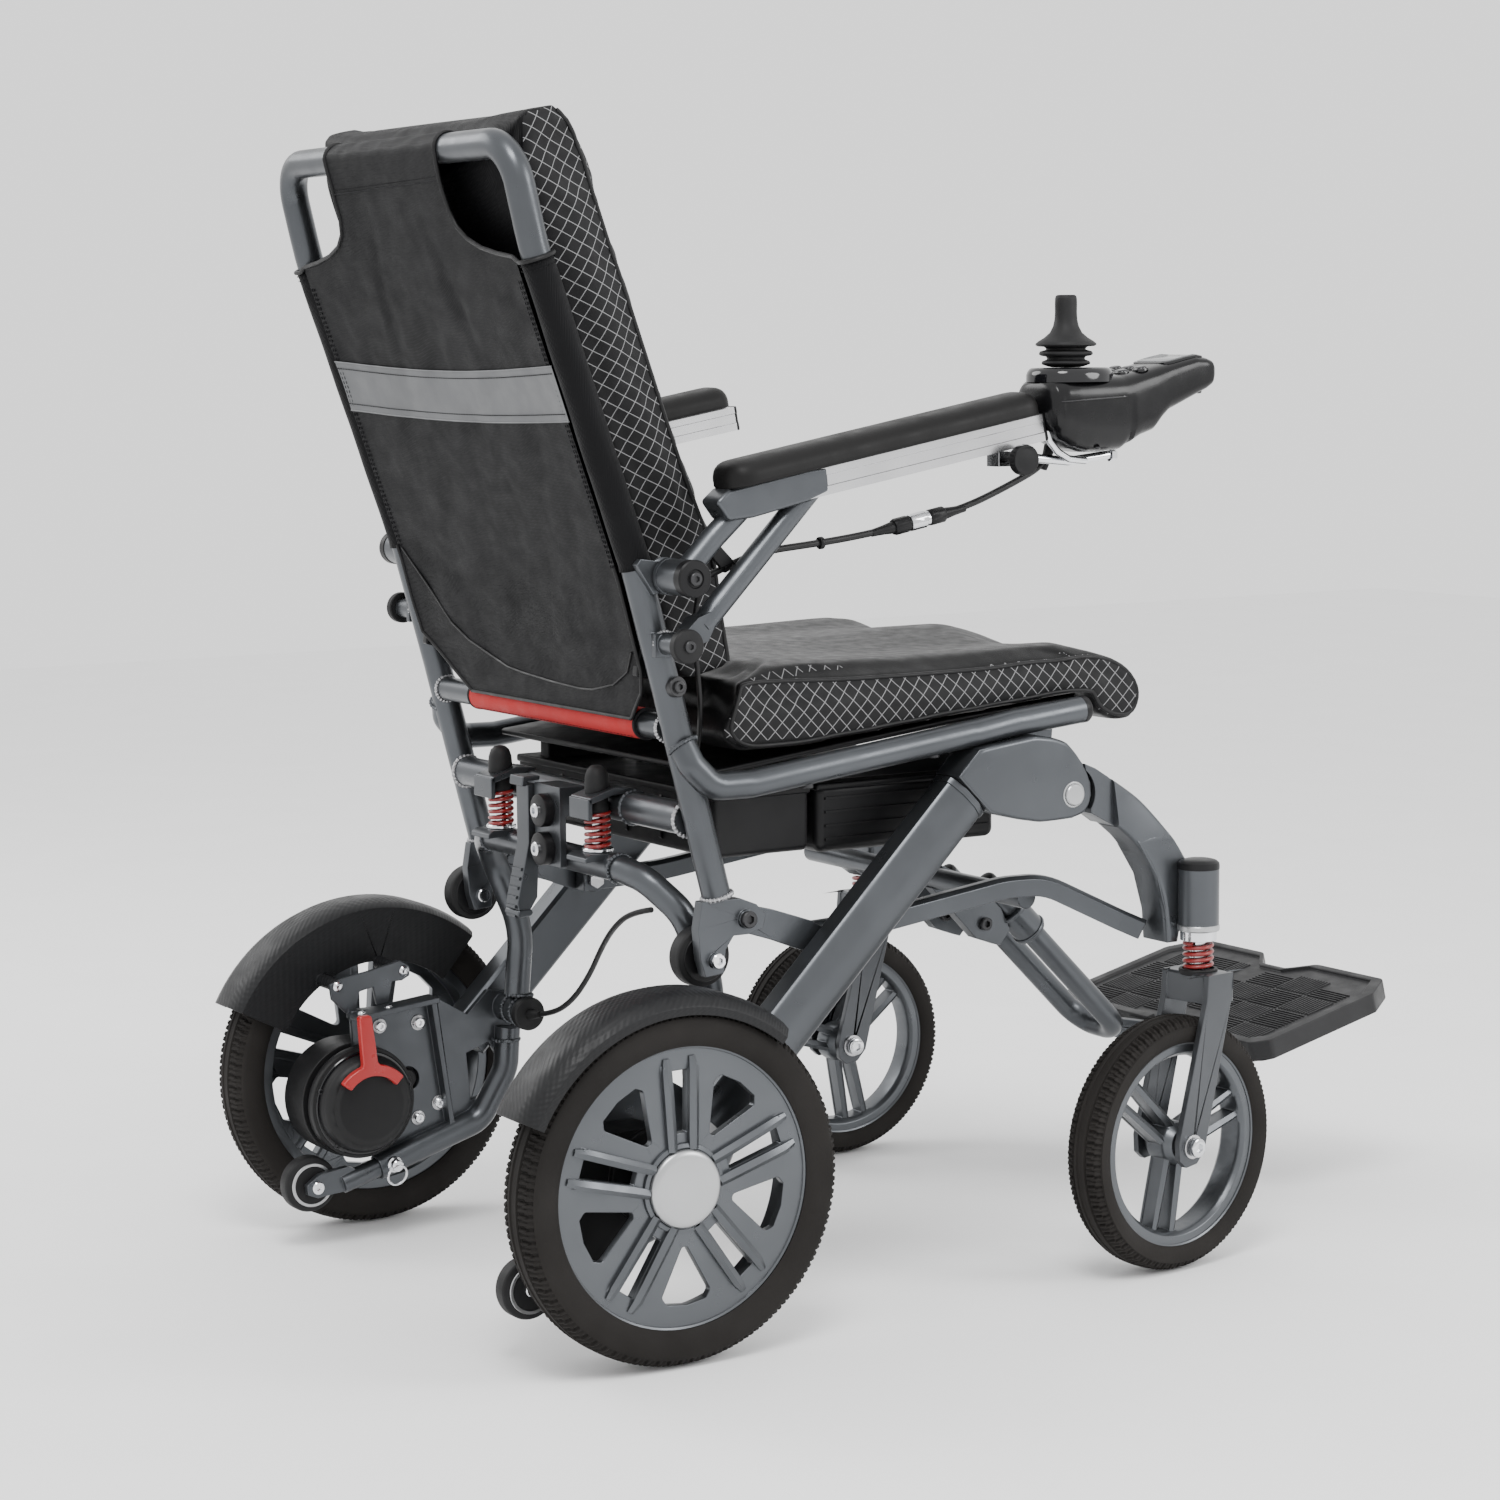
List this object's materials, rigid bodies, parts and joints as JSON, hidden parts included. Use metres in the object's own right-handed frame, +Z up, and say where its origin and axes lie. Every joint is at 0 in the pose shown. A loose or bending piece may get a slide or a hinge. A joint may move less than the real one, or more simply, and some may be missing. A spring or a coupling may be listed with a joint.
{
  "type": "power wheelchair",
  "caption": "Folding power wheelchair with a padded seat and back, joystick controller on the right armrest, driven rear wheels, sprung casters, a footrest and anti-tip wheels.",
  "frame": {"origin": "bottom centre of the whole chair, on the floor plane", "axes": "+Z up, the occupant faces -Y, the occupant's right hand is on -X"},
  "size_m": [0.634, 1.0564, 1.033],
  "materials": {
    "frame_metal": "satin gunmetal grey",
    "rim_metal": "satin gunmetal grey",
    "motor_black": "satin black casting",
    "fender_shell": "woven-look dark grey",
    "tyre_rubber": "matte",
    "caster_metal": "satin dark grey",
    "pin_steel": "satin",
    "spring_red": "gloss red",
    "lever_red": "satin red",
    "grip_red": "matte red",
    "plate_black": "matte",
    "black_plastic": "matte",
    "armrest_silver": "satin silver",
    "pad_foam": "matte grained",
    "seat_cover": "dotted black cover",
    "back_cover": "black cover with a pale lattice",
    "sling_cloth": "black webbing cloth",
    "stick_black": "satin",
    "button_grey": "satin grey",
    "cable_black": "matte"
  },
  "bodies": {
    "rear_frame": {"side_frames": "frame_metal", "motor_brackets": "frame_metal", "motor_housings": "motor_black", "fenders": "fender_shell", "rear_arch": "frame_metal", "motor_cable": "cable_black"},
    "rear_wheel_r": {"rear_rim_r": "rim_metal", "rear_tyre_r": "tyre_rubber"},
    "rear_wheel_l": {"rear_rim_l": "rim_metal", "rear_tyre_l": "tyre_rubber"},
    "front_frame": {"front_frame": "frame_metal"},
    "caster_r": {"caster_stem_r": "pin_steel", "caster_spring_r": "spring_red"},
    "caster_l": {"caster_stem_l": "pin_steel", "caster_spring_l": "spring_red"},
    "fork_r": {"caster_fork_r": "caster_metal"},
    "fork_l": {"caster_fork_l": "caster_metal"},
    "front_wheel_r": {"front_rim_r": "rim_metal", "front_tyre_r": "tyre_rubber"},
    "front_wheel_l": {"front_rim_l": "rim_metal", "front_tyre_l": "tyre_rubber"},
    "footrest": {"footrest_tube": "frame_metal"},
    "footplate": {"footplate": "plate_black"},
    "footrest_knob": {"footrest_knob": "black_plastic"},
    "seat_back": {"back_frame": "frame_metal", "grip_sleeve": "grip_red", "control_box": "black_plastic", "seat_cushion": "seat_cover", "back_cushion": "back_cover", "back_sling": "sling_cloth", "rear_shocks": "spring_red", "rear_fittings": "caster_metal", "frame_cable": "cable_black"},
    "battery": {"battery_box": "black_plastic"},
    "latch_pedal": {"latch_pedal": "caster_metal"},
    "post_roller_r": {"post_roller_r": "black_plastic"},
    "post_roller_l": {"post_roller_l": "black_plastic"},
    "rear_links": {"rear_links": "caster_metal"},
    "anti_tip_r": {"anti_tip_arm_r": "caster_metal"},
    "anti_tip_l": {"anti_tip_arm_l": "caster_metal"},
    "anti_tip_wheel_r": {"anti_tip_wheel_r": "stick_black"},
    "anti_tip_wheel_l": {"anti_tip_wheel_l": "stick_black"},
    "armrest_r": {"armrest_frame_r": "armrest_silver", "armrest_pad_r": "pad_foam", "joystick_cable": "cable_black"},
    "armrest_l": {"armrest_frame_l": "armrest_silver", "armrest_pad_l": "pad_foam"},
    "controller": {"controller_arm": "pin_steel", "controller_case": "black_plastic"},
    "controller_knob": {"controller_knob": "black_plastic"},
    "joystick_gimbal": {"joystick_ball": "pin_steel"},
    "joystick": {"joystick": "stick_black", "joystick_boot": "stick_black"},
    "brake_lever_r": {"brake_lever_r": "lever_red"},
    "brake_lever_l": {"brake_lever_l": "lever_red"},
    "button_1": {"button_1": "button_grey"},
    "button_2": {"button_2": "button_grey"},
    "button_3": {"button_3": "button_grey"},
    "button_4": {"button_4": "button_grey"},
    "button_5": {"button_5": "button_grey"}
  },
  "joints": [
    {"name": "front_frame_fold", "type": "hinge", "parent": "rear_frame", "child": "front_frame", "pos_m": [0, -0.0614, 0.4345], "axis": [1, 0, 0], "range_deg": [0, 38]},
    {"name": "seat_back_fold", "type": "hinge", "parent": "rear_frame", "child": "seat_back", "pos_m": [0, -0.0524, 0.462], "axis": [1, 0, 0], "range_deg": [0, 32.2]},
    {"name": "rear_link_turn", "type": "hinge", "parent": "seat_back", "child": "rear_links", "pos_m": [0, 0.2676, 0.3505], "axis": [1, 0, 0], "range_deg": [-25.8, 0]},
    {"name": "rear_wheel_r_spin", "type": "hinge", "parent": "rear_frame", "child": "rear_wheel_r", "pos_m": [-0.288, 0.3776, 0.15], "axis": [1, 0, 0], "continuous": true},
    {"name": "caster_r_swivel", "type": "hinge", "parent": "front_frame", "child": "caster_r", "pos_m": [-0.272, -0.1834, 0.3], "axis": [0, 0, 1], "continuous": true},
    {"name": "caster_r_spring", "type": "slide", "parent": "caster_r", "child": "fork_r", "axis": [0, 0, 1], "range_m": [0, 0.012], "stiffness_N_per_m": 15000, "springref_m": -0.01, "deforming": ["caster_spring_r"]},
    {"name": "front_wheel_r_spin", "type": "hinge", "parent": "fork_r", "child": "front_wheel_r", "pos_m": [-0.27652, -0.14768, 0.1155], "axis": [0.9903, 0.1392, 0], "continuous": true},
    {"name": "rear_wheel_l_spin", "type": "hinge", "parent": "rear_frame", "child": "rear_wheel_l", "pos_m": [0.288, 0.3776, 0.15], "axis": [1, 0, 0], "continuous": true},
    {"name": "caster_l_swivel", "type": "hinge", "parent": "front_frame", "child": "caster_l", "pos_m": [0.272, -0.1834, 0.3], "axis": [0, 0, 1], "continuous": true},
    {"name": "caster_l_spring", "type": "slide", "parent": "caster_l", "child": "fork_l", "axis": [0, 0, 1], "range_m": [0, 0.012], "stiffness_N_per_m": 15000, "springref_m": -0.01, "deforming": ["caster_spring_l"]},
    {"name": "front_wheel_l_spin", "type": "hinge", "parent": "fork_l", "child": "front_wheel_l", "pos_m": [0.2715, -0.1474, 0.1155], "axis": [1, 0, 0], "continuous": true},
    {"name": "footrest_height", "type": "slide", "parent": "front_frame", "child": "footrest", "axis": [0, 0.7071, 0.7071], "range_m": [-0.03, 0.05]},
    {"name": "footplate_flip", "type": "hinge", "parent": "footrest", "child": "footplate", "pos_m": [0, -0.3464, 0.149], "axis": [-1, 0, 0], "range_deg": [0, 72]},
    {"name": "footrest_knob_turn", "type": "hinge", "parent": "front_frame", "child": "footrest_knob", "pos_m": [0.033, -0.159, 0.2834], "axis": [-1, 0, 0], "range_deg": [0, 180]},
    {"name": "battery_slide", "type": "slide", "parent": "seat_back", "child": "battery", "axis": [0, -1, 0], "range_m": [0, 0.12]},
    {"name": "latch_pedal_press", "type": "hinge", "parent": "seat_back", "child": "latch_pedal", "pos_m": [0.0145, 0.3466, 0.446], "axis": [1, 0, 0], "range_deg": [0, 14], "stiffness_Nm_per_rad": 0.4, "springref_deg": -17.19},
    {"name": "post_roller_r_spin", "type": "hinge", "parent": "seat_back", "child": "post_roller_r", "pos_m": [-0.196, 0.2956, 0.318], "axis": [1, 0, 0], "continuous": true},
    {"name": "post_roller_l_spin", "type": "hinge", "parent": "seat_back", "child": "post_roller_l", "pos_m": [0.227, 0.2956, 0.318], "axis": [1, 0, 0], "continuous": true},
    {"name": "anti_tip_r_slide", "type": "slide", "parent": "rear_frame", "child": "anti_tip_r", "axis": [0, 0.9576, -0.2882], "range_m": [0, 0.05]},
    {"name": "anti_tip_wheel_r_spin", "type": "hinge", "parent": "anti_tip_r", "child": "anti_tip_wheel_r", "pos_m": [-0.2155, 0.4766, 0.0615], "axis": [1, 0, 0], "continuous": true},
    {"name": "armrest_r_lift", "type": "hinge", "parent": "seat_back", "child": "armrest_r", "pos_m": [-0.255, 0.3446, 0.645], "axis": [-1, 0, 0], "range_deg": [0, 80]},
    {"name": "brake_lever_r_turn", "type": "hinge", "parent": "rear_frame", "child": "brake_lever_r", "pos_m": [-0.173, 0.4286, 0.136], "axis": [1, 0, 0], "range_deg": [0, 35]},
    {"name": "anti_tip_l_slide", "type": "slide", "parent": "rear_frame", "child": "anti_tip_l", "axis": [0, 0.9576, -0.2882], "range_m": [0, 0.05]},
    {"name": "anti_tip_wheel_l_spin", "type": "hinge", "parent": "anti_tip_l", "child": "anti_tip_wheel_l", "pos_m": [0.2155, 0.4766, 0.0615], "axis": [1, 0, 0], "continuous": true},
    {"name": "armrest_l_lift", "type": "hinge", "parent": "seat_back", "child": "armrest_l", "pos_m": [0.255, 0.3446, 0.645], "axis": [-1, 0, 0], "range_deg": [0, 80]},
    {"name": "brake_lever_l_turn", "type": "hinge", "parent": "rear_frame", "child": "brake_lever_l", "pos_m": [0.173, 0.4286, 0.136], "axis": [1, 0, 0], "range_deg": [0, 35]},
    {"name": "controller_slide", "type": "slide", "parent": "armrest_r", "child": "controller", "axis": [0, -0.9847, 0.174], "range_m": [0, 0.05]},
    {"name": "controller_knob_turn", "type": "hinge", "parent": "controller", "child": "controller_knob", "pos_m": [-0.275, 0.0186, 0.733], "axis": [-1, 0, 0], "range_deg": [0, 180]},
    {"name": "joystick_fore_aft", "type": "hinge", "parent": "controller", "child": "joystick_gimbal", "pos_m": [-0.255, -0.0464, 0.806], "axis": [1, 0, 0], "range_deg": [-16, 16], "stiffness_Nm_per_rad": 0.15},
    {"name": "joystick_side", "type": "hinge", "parent": "joystick_gimbal", "child": "joystick", "pos_m": [-0.255, -0.0464, 0.806], "axis": [0, 1, 0], "range_deg": [-16, 16], "stiffness_Nm_per_rad": 0.15},
    {"name": "button_1_press", "type": "slide", "parent": "controller", "child": "button_1", "axis": [0, 0, -1], "range_m": [0, 0.0012], "stiffness_N_per_m": 400, "springref_m": -0.002},
    {"name": "button_2_press", "type": "slide", "parent": "controller", "child": "button_2", "axis": [0, 0, -1], "range_m": [0, 0.0012], "stiffness_N_per_m": 400, "springref_m": -0.002},
    {"name": "button_3_press", "type": "slide", "parent": "controller", "child": "button_3", "axis": [0, 0, -1], "range_m": [0, 0.0012], "stiffness_N_per_m": 400, "springref_m": -0.002},
    {"name": "button_4_press", "type": "slide", "parent": "controller", "child": "button_4", "axis": [0, 0, -1], "range_m": [0, 0.0012], "stiffness_N_per_m": 400, "springref_m": -0.002},
    {"name": "button_5_press", "type": "slide", "parent": "controller", "child": "button_5", "axis": [0, 0, -1], "range_m": [0, 0.0012], "stiffness_N_per_m": 400, "springref_m": -0.002}
  ],
  "couplings": [
    {"joint": "seat_back_fold", "follows": "front_frame_fold", "ratio": 0.8355},
    {"joint": "rear_link_turn", "follows": "front_frame_fold", "ratio": -0.667}
  ]
}
